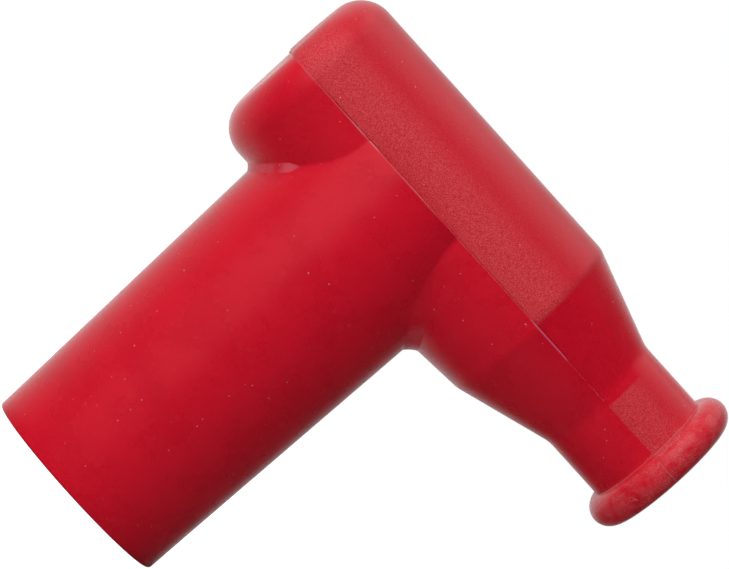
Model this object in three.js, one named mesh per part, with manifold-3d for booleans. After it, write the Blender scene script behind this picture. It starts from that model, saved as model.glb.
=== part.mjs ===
// Right-angle resistor spark plug cap: a one-piece moulded silicone boot over a rigid insert
// that holds the lead screw, the suppressor resistor and the socket that snaps on the plug.
// Millimetres, +Z up. The plug enters the leg from below and the ignition lead enters the arm
// from +X. The mouth rim stands on the plane Z = 0, and the last lines centre the part on its
// length.

import * as THREE from "three";
import { mergeVertices } from "three/addons/utils/BufferGeometryUtils.js";
import Module from "manifold-3d";

const wasm = await Module();
wasm.setup();

// Leg: the plug-side tube, drafted so that it leaves its deep mould cavity.
const legRimRadius = 11.05;
const legDraftDeg = 1.35;
const rimEdgeRadius = 0.3;
const armHeight = 45.0; // mouth rim to the arm's axis, which lies in the mould's parting plane

// Arm: the barrel across the top of the leg, its shoulder cone, the lead neck and the rolled lip.
const barrelRadius = 10.03; // upper mould half
const partingStep = 0.2; // the lower mould half stands this far proud at the parting plane
const barrelSag = 0.25; // and the lower half is this much deeper than it is wide to one side
const domeReach = 17.85; // leg axis to the barrel's closed end, upper mould half
const domeStep = 0.2; // the lower half of the closed end is set in this far
const domeEdgeRadius = 3.7;
const domeDraftDeg = 0.8; // and leans in, as the leg does
const shoulderReach = 17.6; // leg axis to the large end of the shoulder cone, upper mould half
const shoulderEdgeRadius = 2.6;
const coneLength = 10.3;
const coneShift = 0.7; // the lower half's cone lies this much nearer the lip
const neckBendRadius = 4.0;
const neckRadius = 6.8;
const lipReach = 39.35; // leg axis to the lip's front face
const lipRadius = 8.7;
const lipBeadRadius = 1.82;
const webReach = 1.05; // fillet in the corner between leg and barrel
const webFadeDeg = 50; // it dies away this far round the leg

// Bore for the plug's insulator, with the ribs that seal on it.
const mouthRadius = 7.4;
const mouthChamfer = 0.7;
const mouthDepth = 6.0;
const mouthDraft = 0.2;
const mouthTaperLength = 2.4;
const gripRadius = 5.6;
const ribHeight = 0.5;
const ribWidth = 1.1;
const ribPitch = 3.6;
const ribCount = 3;
const ribStart = 10.2; // rim to the first rib's middle

// Bore for the lead, with its sealing ribs.
const leadBoreRadius = 3.4;
const leadBoreFlare = 0.6;
const leadRibHeight = 0.3;
const leadRibWidth = 1.4;
const leadRibPitch = 2.8;
const leadRibCount = 2;
const leadRibInset = 4.4; // lip face to the outer rib's middle

// Rigid insert: a tee with its bar along the barrel and its stem down the leg.
const fitGap = 0.1; // between pieces that seat on each other
const insertBarRadius = 6.8;
const insertBack = 14.4; // leg axis to the face at the closed end
const insertChamfer = 0.8;
const insertStemRadius = 6.6;
const insertStemFoot = 20.8; // mouth rim to the stem's lower face
const stackBoreRadius = 3.7;
const leadWallThickness = 2.4; // between the stack's bore and the neck
const socketPocketRadius = 5.2;
const socketPocketDepth = 13.0;
const studClearance = 0.35;

// Socket that snaps on the plug's terminal, with its stud up into the contact block.
const socketRadius = 4.3;
const socketBoreRadius = 3.25;
const socketBoreDepth = 9.6;
const socketBoreCone = 0.6;
const socketInset = 0.9; // stem's lower face to the socket's mouth
const socketFlangeRadius = 4.9;
const socketFlangeHeight = 1.2;
const socketSlotWidth = 0.9;
const socketSlotDepth = 7.6;
const socketLeadIn = 0.5;
const clipWireRadius = 0.36;
const clipGrooveDepth = 0.3;
const clipHeight = 2.6; // socket's mouth to the clip's middle
const clipGapDeg = 46;
const clipPlay = 0.05;
const studRadius = 2.0;
const studChamfer = 0.4;
const studReach = 2.2; // the arm's axis to the stud's tip

// Stack along the barrel: end plug, spring, contact block, resistor, lead screw.
const blockRadius = 3.5;
const blockLength = 6.6;
const blockChamfer = 0.4;
const resistorLength = 12.0;
const resistorRadius = 2.85;
const capRadius = 3.3;
const capWall = 0.35;
const capDepth = 2.8;
const screwHeadRadius = 3.3;
const screwHeadThickness = 1.0;
const screwThreadRadius = 1.6;
const screwCoreRadius = 1.15;
const screwThreadPitch = 1.35;
const screwPlainLength = 0.6; // from the insert's face to the first thread
const screwReach = 10.4; // from the insert's face to the point
const screwPointLength = 2.4;
const screwPointShare = 0.08; // of the core's radius, where the point ends
const endPlugLength = 4.2;
const endPlugSlotWidth = 0.9;
const endPlugSlotDepth = 1.3;
const springWireRadius = 0.4;
const springMeanRadius = 2.6;
const springTurns = 5;
const springClosedPitch = 0.87; // of the first and the last turn

const degree = Math.PI / 180;
const outerSegments = 56;
const innerSegments = 28;
const arcStepDeg = 13;
const farAway = 200; // beyond the part in every direction
const overcut = 1; // how far a cutting solid stands out of what it cuts

// Places worked out from the sizes above.
const legRadiusAt = (height) => legRimRadius + height * Math.tan(legDraftDeg * degree);
const barrelSide = barrelRadius + partingStep;
const barrelDepth = barrelSide + barrelSag;
const legTopRadius = legRadiusAt(armHeight - barrelDepth);
const lowerShoulder = shoulderReach + coneShift;
const easeReach = Math.min(legTopRadius + webReach, lowerShoulder - 2 * shoulderEdgeRadius);
const socketMouth = insertStemFoot + socketInset;
const pocketTop = insertStemFoot + socketPocketDepth;
const flangeTop = pocketTop - fitGap;
const blockEnd = blockLength / 2;
const resistorBack = blockEnd + fitGap;
const resistorFront = resistorBack + resistorLength;
const screwHeadBack = resistorFront + fitGap;
const screwHeadFront = screwHeadBack + screwHeadThickness;
const insertFront = screwHeadFront + fitGap + leadWallThickness; // the insert's face at the lead
const endPlugFront = -insertBack + endPlugLength;
const springBack = endPlugFront + fitGap;
const springFront = -blockEnd - fitGap;

// A closed geometry as a solid, turned outside out if its profile ran the other way.
function solidFrom(geometry) {
  const plain = geometry.index ? geometry.toNonIndexed() : geometry;
  const bare = new THREE.BufferGeometry();
  bare.setAttribute("position", plain.getAttribute("position"));
  const merged = mergeVertices(bare, 1e-4);
  const corners = merged.index.array;
  const triangles = [];
  for (let i = 0; i < corners.length; i += 3) {
    const [a, b, c] = corners.slice(i, i + 3);
    if (a !== b && b !== c && c !== a) triangles.push(a, b, c);
  }
  const build = (order) =>
    new wasm.Manifold(
      new wasm.Mesh({
        numProp: 3,
        vertProperties: new Float32Array(merged.attributes.position.array),
        triVerts: new Uint32Array(order),
      }),
    );
  const solid = build(triangles);
  return solid.volume() < 0 ? build(triangles.reverse()) : solid;
}

// A solid back as a geometry for a mesh.
function geometryFrom(solid) {
  const mesh = solid.getMesh();
  const positions = new Float32Array(mesh.numVert * 3);
  for (let i = 0; i < mesh.numVert; i += 1) {
    positions.set(mesh.vertProperties.subarray(i * mesh.numProp, i * mesh.numProp + 3), i * 3);
  }
  const geometry = new THREE.BufferGeometry();
  geometry.setAttribute("position", new THREE.BufferAttribute(positions, 3));
  geometry.setIndex(new THREE.BufferAttribute(mesh.triVerts, 1));
  geometry.computeVertexNormals();
  return geometry;
}

const joined = (solids) => solids.reduce((whole, next) => whole.add(next));
const point = (across, along) => new THREE.Vector2(across, along);

// A profile from its corners, each [distance from the axis, place along it, rounding radius].
// A rounding gets no more of its neighbouring edges than leaves room for the next one.
function rounded(corners) {
  return corners.flatMap(([across, along, radius = 0], i) => {
    const here = point(across, along);
    if (radius === 0) return [here];
    const back = point(corners[i - 1][0], corners[i - 1][1]).sub(here);
    const ahead = point(corners[i + 1][0], corners[i + 1][1]).sub(here);
    const room = 0.48 * Math.min(back.length(), ahead.length());
    back.normalize();
    ahead.normalize();
    const halfAngle = Math.acos(THREE.MathUtils.clamp(back.dot(ahead), -1, 1)) / 2;
    const setback = Math.min(radius / Math.tan(halfAngle), room);
    const centre = back.clone().add(ahead).normalize().multiplyScalar(setback / Math.cos(halfAngle));
    centre.add(here);
    const from = back.clone().multiplyScalar(setback).add(here).sub(centre);
    const to = ahead.clone().multiplyScalar(setback).add(here).sub(centre);
    const sweep = Math.atan2(from.cross(to), from.dot(to));
    const steps = Math.max(2, Math.round(Math.abs(sweep) / (arcStepDeg * degree)));
    return Array.from({ length: steps + 1 }, (_, k) =>
      from.clone().rotateAround(point(0, 0), (sweep * k) / steps).add(centre),
    );
  });
}

// Points of an arc in a profile, from one angle to another.
function arc(across, along, radius, fromDeg, toDeg, stepDeg = arcStepDeg) {
  const steps = Math.max(2, Math.round(Math.abs(toDeg - fromDeg) / stepDeg));
  return Array.from({ length: steps + 1 }, (_, i) => {
    const angle = (fromDeg + ((toDeg - fromDeg) * i) / steps) * degree;
    return point(across + radius * Math.cos(angle), along + radius * Math.sin(angle));
  });
}

// A profile turned about the leg's axis.
function turnedOnLeg(profile, segments = innerSegments) {
  return solidFrom(new THREE.LatheGeometry(profile, segments).rotateX(Math.PI / 2));
}

// A profile turned about the arm's axis, its distances measured from the leg's axis.
function turnedOnArm(profile, segments = innerSegments, reshape = (geometry) => geometry) {
  const geometry = new THREE.LatheGeometry(profile, segments).rotateZ(-Math.PI / 2);
  return solidFrom(reshape(geometry).translate(0, 0, armHeight));
}

// A round bar on the arm's axis between two places, with both edges chamfered.
function barOnArm(radius, back, front, chamfer = 0) {
  const edge = (place, inward) =>
    chamfer > 0
      ? [point(radius - chamfer, place), point(radius, place + inward * chamfer)]
      : [point(radius, place)];
  return turnedOnArm([
    point(0, back),
    ...edge(back, 1),
    ...edge(front, -1).reverse(),
    point(0, front),
  ]);
}

// A plain round bar on the leg's axis between two heights.
function barOnLeg(radius, bottom, top) {
  return turnedOnLeg([point(0, bottom), point(radius, bottom), point(radius, top), point(0, top)]);
}

// A block by its lowest and highest corners.
function block(low, high) {
  const size = high.map((value, i) => value - low[i]);
  const middle = high.map((value, i) => (value + low[i]) / 2);
  return solidFrom(new THREE.BoxGeometry(...size).translate(...middle));
}

const belowParting = block([-farAway, -farAway, -farAway], [farAway, farAway, armHeight]);
const aboveParting = block([-farAway, -farAway, armHeight], [farAway, farAway, farAway]);

// The leg's outside, from its rim up to the parting plane.
function legOutside() {
  const corners = [
    [0, 0],
    [legRimRadius, 0, rimEdgeRadius],
    [legRadiusAt(armHeight), armHeight],
    [0, armHeight],
  ];
  return turnedOnLeg(rounded(corners), outerSegments);
}

// The arm's outline from its closed end to its lip, for one mould half. The lower half's barrel
// is wider, and eases to the upper half's width on its way to the shoulder.
function armOutline({ width, closedEnd, faceDraftDeg, shoulder }) {
  const lean = width * Math.tan(faceDraftDeg * degree);
  const beadAcross = lipRadius - lipBeadRadius;
  const beadAlong = lipReach - lipBeadRadius;
  const beadFoot = Math.acos(THREE.MathUtils.clamp((neckRadius - beadAcross) / lipBeadRadius, -1, 1));
  const shell = rounded([
    [0, closedEnd],
    [width, closedEnd + lean, domeEdgeRadius],
    [width, easeReach],
    [barrelRadius, shoulder, shoulderEdgeRadius],
    [neckRadius, shoulder + coneLength, neckBendRadius],
    [neckRadius, beadAlong - lipBeadRadius],
  ]);
  shell.pop();
  const bead = arc(beadAcross, beadAlong, lipBeadRadius, -beadFoot / degree, 90);
  return [...shell, ...bead, point(0, lipReach)];
}

// The lower half of the barrel is a little deeper than it is wide, up to where it eases.
function sagged(geometry) {
  const places = geometry.getAttribute("position");
  for (let i = 0; i < places.count; i += 1) {
    const share = (lowerShoulder - places.getX(i)) / (lowerShoulder - easeReach);
    const sag = (barrelSag / barrelSide) * THREE.MathUtils.clamp(share, 0, 1);
    places.setZ(i, places.getZ(i) * (1 + sag));
  }
  return geometry;
}

function armOutside() {
  const upperOutline = armOutline({
    width: barrelRadius,
    closedEnd: -domeReach,
    faceDraftDeg: 0,
    shoulder: shoulderReach,
  });
  const lowerOutline = armOutline({
    width: barrelSide,
    closedEnd: -domeReach + domeStep,
    faceDraftDeg: domeDraftDeg,
    shoulder: lowerShoulder,
  });
  const upper = turnedOnArm(upperOutline, outerSegments);
  const lower = turnedOnArm(lowerOutline, outerSegments, sagged);
  return upper.intersect(aboveParting).add(lower.intersect(belowParting));
}

// A closed solid through a row of sections with the same number of corners, capped at both ends.
function loftedThrough(sections) {
  const corners = sections[0].length;
  const positions = sections.flat().flatMap((place) => place.toArray());
  const index = [];
  for (let i = 0; i < sections.length - 1; i += 1) {
    for (let k = 0; k < corners; k += 1) {
      const a = i * corners + k;
      const b = i * corners + ((k + 1) % corners);
      index.push(a, b, b + corners, a, b + corners, a + corners);
    }
  }
  const last = (sections.length - 1) * corners;
  for (let k = 1; k < corners - 1; k += 1) {
    index.push(0, k + 1, k, last, last + k, last + k + 1);
  }
  const geometry = new THREE.BufferGeometry();
  geometry.setAttribute("position", new THREE.BufferAttribute(new Float32Array(positions), 3));
  geometry.setIndex(index);
  return solidFrom(geometry);
}

// Where leg and barrel meet, at one angle round the leg: the corner between them, with the
// directions down the leg's side, along the barrel's side, and into each of them.
function cornerAt(side, turnDeg) {
  const out = new THREE.Vector3(side * Math.cos(turnDeg * degree), Math.sin(turnDeg * degree), 0);
  let height = armHeight - barrelDepth;
  for (let pass = 0; pass < 6; pass += 1) {
    const share = (legRadiusAt(height) * out.y) / barrelSide;
    height = armHeight - barrelDepth * Math.sqrt(Math.max(1 - share * share, 0));
  }
  const corner = out.clone().multiplyScalar(legRadiusAt(height)).setZ(height);
  const down = out.clone().multiplyScalar(-Math.tan(legDraftDeg * degree)).setZ(-1).normalize();
  const below = new THREE.Vector3(0, corner.y / barrelSide ** 2, (height - armHeight) / barrelDepth ** 2);
  below.normalize();
  const along = out.clone().addScaledVector(below, -out.dot(below)).normalize();
  return { corner, down, along, intoLeg: out.negate(), intoBarrel: below.negate() };
}

// One side of the fillet between leg and barrel: a section swept round the corner, which thins
// towards both ends of its sweep and is rooted a little way inside both walls.
function cornerWeb(side) {
  const sweepSteps = 24;
  const curveSteps = 4;
  const root = 0.7;
  const thinnest = 0.02;
  const sections = Array.from({ length: sweepSteps + 1 }, (_, i) => {
    const share = -1 + (2 * i) / sweepSteps;
    const reach = Math.max(webReach * Math.cos((share * Math.PI) / 2), thinnest);
    const { corner, down, along, intoLeg, intoBarrel } = cornerAt(side, share * webFadeDeg);
    const onLeg = corner.clone().addScaledVector(down, reach);
    const onBarrel = corner.clone().addScaledVector(along, reach);
    const fillet = new THREE.QuadraticBezierCurve3(onLeg, corner, onBarrel);
    return [
      corner.clone().addScaledVector(intoLeg, root).addScaledVector(intoBarrel, root),
      onLeg.clone().addScaledVector(intoLeg, root),
      ...fillet.getPoints(curveSteps),
      onBarrel.clone().addScaledVector(intoBarrel, root),
    ];
  });
  return loftedThrough(sections);
}

// A rounded sealing rib in a bore: points of the bore's profile that dip towards the axis.
function rib(boreRadius, middle, width, height) {
  return [-1, -0.5, 0, 0.5, 1].map((share) => {
    const dip = (height * (1 + Math.cos(share * Math.PI))) / 2;
    return point(boreRadius - dip, middle + (share * width) / 2);
  });
}

// The space in the boot for the plug, and above it for the insert's stem.
function plugBore() {
  const ribs = Array.from({ length: ribCount }, (_, i) =>
    rib(gripRadius, ribStart + i * ribPitch, ribWidth, ribHeight),
  );
  const stemPocket = insertStemRadius + fitGap;
  return turnedOnLeg([
    point(0, -overcut),
    point(mouthRadius + mouthChamfer + overcut, -overcut),
    point(mouthRadius, mouthChamfer),
    point(mouthRadius - mouthDraft, mouthDepth),
    point(gripRadius, mouthDepth + mouthTaperLength),
    ...ribs.flat(),
    point(gripRadius, insertStemFoot - fitGap),
    point(stemPocket, insertStemFoot - fitGap),
    point(stemPocket, armHeight),
    point(0, armHeight),
  ]);
}

// The space in the boot for the lead, and behind it for the insert's bar.
function leadBore() {
  const outerRib = lipReach - leadRibInset;
  const ribs = Array.from({ length: leadRibCount }, (_, i) =>
    rib(leadBoreRadius, outerRib - (leadRibCount - 1 - i) * leadRibPitch, leadRibWidth, leadRibHeight),
  );
  const barPocket = barOnArm(
    insertBarRadius + fitGap,
    -insertBack - fitGap,
    insertFront + fitGap,
    insertChamfer,
  );
  const neckBore = turnedOnArm([
    point(0, 0),
    point(leadBoreRadius, 0),
    ...ribs.flat(),
    point(leadBoreRadius, lipReach - leadBoreFlare),
    point(leadBoreRadius + leadBoreFlare + overcut, lipReach + overcut),
    point(0, lipReach + overcut),
  ]);
  return barPocket.add(neckBore);
}

function bootSolid() {
  const outside = joined([legOutside(), armOutside(), cornerWeb(-1), cornerWeb(1)]);
  return outside.subtract(plugBore()).subtract(leadBore());
}

// The rigid tee, bored along its bar for the stack and up its stem for the socket.
function insertBodySolid() {
  const bar = barOnArm(insertBarRadius, -insertBack, insertFront, insertChamfer);
  const stem = barOnLeg(insertStemRadius, insertStemFoot, armHeight);
  const cuts = [
    barOnArm(stackBoreRadius, -insertBack - overcut, insertFront - leadWallThickness),
    barOnArm(screwThreadRadius + fitGap, 0, insertFront + overcut),
    barOnLeg(socketPocketRadius, insertStemFoot - overcut, pocketTop),
    barOnLeg(studRadius + studClearance, pocketTop - overcut, armHeight),
  ];
  return bar.add(stem).subtract(joined(cuts));
}

// The socket: a slotted cup with a snap groove outside, a flange, and a stud on top.
function terminalSocketSolid() {
  const boreTop = socketMouth + socketBoreDepth;
  const grooveAcross = socketRadius + clipWireRadius - clipGrooveDepth;
  const grooveHeight = socketMouth + clipHeight;
  const groove = arc(grooveAcross, grooveHeight, clipWireRadius + clipPlay, 270, 90, 3 * arcStepDeg);
  const cup = turnedOnLeg([
    point(socketBoreRadius + socketLeadIn, socketMouth),
    point(socketRadius, socketMouth),
    ...groove.filter((place) => place.x < socketRadius),
    point(socketRadius, flangeTop - socketFlangeHeight),
    point(socketFlangeRadius, flangeTop - socketFlangeHeight),
    point(socketFlangeRadius, flangeTop),
    point(studRadius, flangeTop),
    point(studRadius, armHeight + studReach - studChamfer),
    point(studRadius - studChamfer, armHeight + studReach),
    point(0, armHeight + studReach),
    point(0, boreTop + socketBoreCone),
    point(socketBoreRadius, boreTop),
    point(socketBoreRadius, socketMouth + socketLeadIn),
    point(socketBoreRadius + socketLeadIn, socketMouth),
  ]);
  const half = socketSlotWidth / 2;
  const slotTop = socketMouth + socketSlotDepth;
  const slots = [
    block([-farAway, -half, -farAway], [farAway, half, slotTop]),
    block([-half, -farAway, -farAway], [half, farAway, slotTop]),
  ];
  return cup.subtract(joined(slots));
}

// A round wire along a path, as a closed solid with flat ends.
function wireAlong(path, radius, steps) {
  const sides = 8;
  const outline = Array.from({ length: sides }, (_, i) => {
    const angle = (i / sides) * 2 * Math.PI;
    return point(radius * Math.cos(angle), radius * Math.sin(angle));
  });
  const settings = { steps, bevelEnabled: false, extrudePath: path };
  return solidFrom(new THREE.ExtrudeGeometry(new THREE.Shape(outline), settings));
}

// The open wire ring that squeezes the socket's fingers on the plug's terminal.
class ClipPath extends THREE.Curve {
  getPoint(share) {
    const angle = (clipGapDeg / 2 + share * (360 - clipGapDeg)) * degree;
    const radius = socketRadius + clipWireRadius - clipGrooveDepth + clipPlay;
    const height = socketMouth + clipHeight;
    return new THREE.Vector3(radius * Math.cos(angle), radius * Math.sin(angle), height);
  }
}

// The compression spring's path, with its first and last turn wound close.
class SpringPath extends THREE.Curve {
  getPoint(share) {
    const turns = share * springTurns;
    const room = springFront - springBack - 2 * springWireRadius;
    const openPitch = (room - 2 * springClosedPitch) / (springTurns - 2);
    const open = THREE.MathUtils.clamp(turns - 1, 0, springTurns - 2);
    const closed = Math.min(turns, 1) + Math.max(turns - (springTurns - 1), 0);
    const angle = turns * 2 * Math.PI;
    return new THREE.Vector3(
      springBack + springWireRadius + closed * springClosedPitch + open * openPitch,
      springMeanRadius * Math.cos(angle),
      armHeight + springMeanRadius * Math.sin(angle),
    );
  }
}

function snapClipSolid() {
  const steps = 32;
  return wireAlong(new ClipPath(), clipWireRadius, steps);
}

function stackSpringSolid() {
  const stepsPerTurn = 14;
  return wireAlong(new SpringPath(), springWireRadius, springTurns * stepsPerTurn);
}

// The cross block that takes the socket's stud and carries the current into the resistor.
function contactBlockSolid() {
  const tapped = barOnLeg(
    studRadius + fitGap,
    armHeight - blockRadius - overcut,
    armHeight + blockRadius + overcut,
  );
  return barOnArm(blockRadius, -blockEnd, blockEnd, blockChamfer).subtract(tapped);
}

// The ceramic rod of the resistor, between the walls of its two metal caps.
function resistorRodSolid() {
  const inset = capWall + fitGap / 2;
  return barOnArm(resistorRadius, resistorBack + inset, resistorFront - inset);
}

// One metal cap of the resistor, from its closed outer end towards the rod's middle.
function resistorCapSolid(outerEnd, inward) {
  const mouth = outerEnd + inward * capDepth;
  const cup = barOnArm(capRadius, Math.min(outerEnd, mouth), Math.max(outerEnd, mouth));
  const floor = outerEnd + inward * capWall;
  const beyond = mouth + inward * overcut;
  const inside = barOnArm(resistorRadius + fitGap, Math.min(floor, beyond), Math.max(floor, beyond));
  return cup.subtract(inside);
}

// A coarse thread about the arm's axis, which tapers to a point: rings of points whose distance
// from the axis follows the helix.
function threadSolid(start, end) {
  const around = 16;
  const ringsPerPitch = 7;
  const crestSharpness = 1.5;
  const rings = Math.round(((end - start) / screwThreadPitch) * ringsPerPitch);
  const positions = [start, 0, armHeight];
  for (let i = 0; i <= rings; i += 1) {
    const along = start + ((end - start) * i) / rings;
    const taper = THREE.MathUtils.clamp((end - along) / screwPointLength, screwPointShare, 1);
    for (let k = 0; k < around; k += 1) {
      const phase = (along - start) / screwThreadPitch - k / around;
      const crest = Math.max(0, Math.cos(phase * 2 * Math.PI)) ** crestSharpness;
      const radius = THREE.MathUtils.lerp(screwCoreRadius, screwThreadRadius, crest) * taper;
      const angle = (k / around) * 2 * Math.PI;
      positions.push(along, radius * Math.cos(angle), armHeight + radius * Math.sin(angle));
    }
  }
  positions.push(end, 0, armHeight);
  const tip = positions.length / 3 - 1;
  const lastRing = 1 + rings * around;
  const index = [];
  for (let k = 0; k < around; k += 1) {
    const next = (k + 1) % around;
    index.push(0, 1 + next, 1 + k);
    for (let a = 1; a < lastRing; a += around) {
      const b = a + around;
      index.push(a + k, a + next, b + next, a + k, b + next, b + k);
    }
    index.push(tip, lastRing + k, lastRing + next);
  }
  const geometry = new THREE.BufferGeometry();
  geometry.setAttribute("position", new THREE.BufferAttribute(new Float32Array(positions), 3));
  geometry.setIndex(index);
  return solidFrom(geometry);
}

// The lead screw: a flat head in the stack, a shank through the wall, and a coarse thread with a
// point that screws into the middle of the lead.
function leadScrewSolid() {
  const threadStart = insertFront + screwPlainLength;
  const head = barOnArm(screwHeadRadius, screwHeadBack, screwHeadFront);
  const shank = barOnArm(screwThreadRadius, screwHeadBack, threadStart);
  const thread = threadSolid(insertFront, insertFront + screwReach);
  return joined([head, shank, thread]);
}

// The plug that closes the insert's back end and backs the spring, with a driver slot.
function endPlugSolid() {
  const half = endPlugSlotWidth / 2;
  const slot = block(
    [-insertBack - overcut, -farAway, armHeight - half],
    [-insertBack + endPlugSlotDepth, farAway, armHeight + half],
  );
  return barOnArm(stackBoreRadius - fitGap, -insertBack, endPlugFront).subtract(slot);
}

const silicone = new THREE.MeshStandardMaterial({ color: 0xc41a2e, roughness: 0.45, metalness: 0 });
const phenolic = new THREE.MeshStandardMaterial({ color: 0x1c1a19, roughness: 0.5, metalness: 0 });
const ceramic = new THREE.MeshStandardMaterial({ color: 0xe6dfd0, roughness: 0.6, metalness: 0 });
const brass = new THREE.MeshStandardMaterial({ color: 0xc7a04a, roughness: 0.3, metalness: 1 });
const steel = new THREE.MeshStandardMaterial({ color: 0xb9bcc0, roughness: 0.3, metalness: 1 });

function piece(name, solid, material) {
  const mesh = new THREE.Mesh(geometryFrom(solid), material);
  mesh.name = name;
  return mesh;
}

const cap = new THREE.Group();
cap.add(
  piece("boot", bootSolid(), silicone),
  piece("insert_body", insertBodySolid(), phenolic),
  piece("terminal_socket", terminalSocketSolid(), brass),
  piece("snap_clip", snapClipSolid(), steel),
  piece("contact_block", contactBlockSolid(), brass),
  piece("resistor_rod", resistorRodSolid(), ceramic),
  piece("resistor_cap_plug_side", resistorCapSolid(resistorBack, 1), steel),
  piece("resistor_cap_lead_side", resistorCapSolid(resistorFront, -1), steel),
  piece("lead_screw", leadScrewSolid(), brass),
  piece("stack_spring", stackSpringSolid(), steel),
  piece("end_plug", endPlugSolid(), brass),
);
cap.position.x = (domeReach - lipReach) / 2;

export default cap;
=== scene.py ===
"""Right-angle silicone spark plug cap, dressed for a studio picture.

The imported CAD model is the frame. The boot is rebuilt from its sizes as one fine mesh, with the
parting flash and the finishes of its two mould halves. The pieces inside keep their CAD meshes.
"""

import cmath
import math

import bmesh
import bpy
import numpy as np
from bpy.props import FloatProperty, FloatVectorProperty, PointerProperty
from bpy.types import Operator, Panel, PropertyGroup
from mathutils import Matrix, Vector


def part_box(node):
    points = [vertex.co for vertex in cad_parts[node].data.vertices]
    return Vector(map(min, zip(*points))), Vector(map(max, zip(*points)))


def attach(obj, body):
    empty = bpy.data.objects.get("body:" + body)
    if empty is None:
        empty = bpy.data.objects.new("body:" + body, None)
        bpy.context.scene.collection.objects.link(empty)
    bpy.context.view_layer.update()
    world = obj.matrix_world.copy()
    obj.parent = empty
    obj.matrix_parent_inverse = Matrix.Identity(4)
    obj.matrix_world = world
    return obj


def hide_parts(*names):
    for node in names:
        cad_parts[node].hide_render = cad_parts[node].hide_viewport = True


bl_info = {
    "name": "Spark Plug Cap",
    "version": (1, 0, 0),
    "blender": (4, 5, 0),
    "location": "3D View > Sidebar > Plug Cap",
    "description": "Builds the moulded boot, the finishes of the inner parts and a plain studio",
    "category": "Add Mesh",
}

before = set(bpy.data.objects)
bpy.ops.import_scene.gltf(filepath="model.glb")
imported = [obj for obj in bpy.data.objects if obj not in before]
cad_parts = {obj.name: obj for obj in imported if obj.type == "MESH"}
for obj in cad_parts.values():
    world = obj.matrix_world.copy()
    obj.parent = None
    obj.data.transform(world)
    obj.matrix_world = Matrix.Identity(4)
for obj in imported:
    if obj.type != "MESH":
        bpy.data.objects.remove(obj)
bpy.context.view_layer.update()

MM = 0.001
SENSOR_WIDTH_MM = 36.0
CLIP_START = 0.01
MERGE_DISTANCE = 0.0002 * MM
SHARP_EDGE = math.radians(28)
NO_LENGTH = 1e-12
# Vertex mark for how pale the flash and the corner strips are painted: thin silicone in part, and a painted
# highlight.
FLASH_AND_HIGHLIGHT_MARK = "torn"

# Steps of the boot's mesh.
HALF_TURN_STEPS = 64
LEDGE_STEPS = 48
BARREL_STEPS = 24
SHOULDER_STEPS = 4
LEG_ROWS = 26
DOME_STEPS = 16
EDGE_STEPS = 12
CONE_STEPS = 24
NECK_STEPS = 14
BEAD_STEPS = 24
FACE_STEPS = 8
RIM_STEPS = 5
RIB_STEPS = 10
BORE_SEGMENTS = 128

# Extra turns beside the parting plane, as shares of a step, for the rounding there.
FIRST_TURN_SHARES = (0.2, 0.4, 0.7)

# Rows across the strip in the corner between leg and barrel, as shares of its width.
STRIP_SHARES = (0, 0.06, 0.25, 0.5, 0.75, 0.94, 1)
THINNEST_STRIP = 0.08 * MM

# How pale this strip is painted, as a painted highlight, at its start and at its torn end, and the turns of
# its torn end and soft edges.
STRIP_HIGHLIGHT = 0.26
TORN_END_HIGHLIGHT = 0.5
TORN_END = math.radians(4)
STRIP_FADE = math.radians(2)

# Heights that the two mould halves leave free at the parting plane, for the flash.
UPPER_STRIP = 0.18 * MM
LOWER_STRIP = 0.12 * MM

# How much flash there is along the arm, which also sets how pale it is painted: places in millimetres from
# the leg's axis, and shares.
FLASH_STEADY = (
    (-18, -16.9, -5.2, -3.9, 0.2, 3, 4.7, 17.2, 17.5, 22.8, 23, 26.6, 27, 36, 37, 40),
    (0.1, 0.4, 0.45, 0.3, 0.8, 0.5, 0.04, 0.02, 0.8, 0.9, 0.03, 0.03, 0, 0, 0.9, 0.9),
)
FLASH_NOTCHES = (
    (-14, -12.5, -9, -5.2, -4.8, 4, 5.5, 17, 17.3, 23, 23.2, 40),
    (0, 0.5, 0.8, 1, 0.05, 0.1, 0.35, 0.35, 0.1, 0.3, 0, 0),
)
FLASH_TORN = (
    (-12.5, -8, -5.3, -5.1, 5.8, 6.2, 9.8, 10.2, 17, 17.5, 22, 22.9, 23),
    (0, 0.7, 0.9, 0, 0, 0.6, 0.5, 0, 0, 0.5, 0.6, 1, 0),
)

# How ragged the flash is: the mesh steps over which it changes, and shares.
FLASH_SEED = 11
FINE_TEAR = 3
COARSE_TEAR = 7
NOTCH_TEAR = 2
TEAR_GAIN = 1.8
LEAST_FLASH = 0.02
LEAST_NOTCH = 0.25

# Shares of the flash's reach, of its full thickness and of the ledge, and its outer edge's drop.
FLASH_RISE = 0.4
THINNEST_FLASH = 0.15
FLASH_ROOT = 0.8
FLASH_EDGE_DROP = 0.01 * MM

# Shares of the upper half's free height between which it is notched.
NOTCH_TOP = 0.85
NOTCH_FOOT = 0.06

# How much the flash faces along the arm on a flat end, and the share from which it is painted pale: thin
# silicone, partly a painted highlight.
FLAT_END = 0.9
PALE_FROM = 0.05

PLUG_RIBS = 3

# Places on the silicone, along the arm or over the parting plane. A pair is a change's start and end.
PARTING_BLUR = (0, 0.05 * MM)
PAST_SHOULDER = 0.9 * MM
SHOULDER_BLUR = 0.12 * MM
SHOULDER_FRAY = 0.8 * MM
PAST_CONE = 1.2 * MM
NECK_PATCH_START = 0.2 * MM
NECK_PATCH_TOP = (6.5 * MM, 2.5 * MM)
NECK_PATCH_END = (36.2 * MM, 36.0 * MM)
# The painted sheen band, where the blasted grain's glints are strongest, ends between these heights above
# the parting plane.
SHEEN_BAND_TOP = (6.5 * MM, 3.0 * MM)
LIP_START = (4.0 * MM, 3.4 * MM)
# Where the cone's flash takes its own pale tone, partly a painted highlight.
CONE_FLASH_MIDDLE = 2.6 * MM
CONE_FLASH_ENDS = (4.0 * MM, 3.5 * MM)
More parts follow.
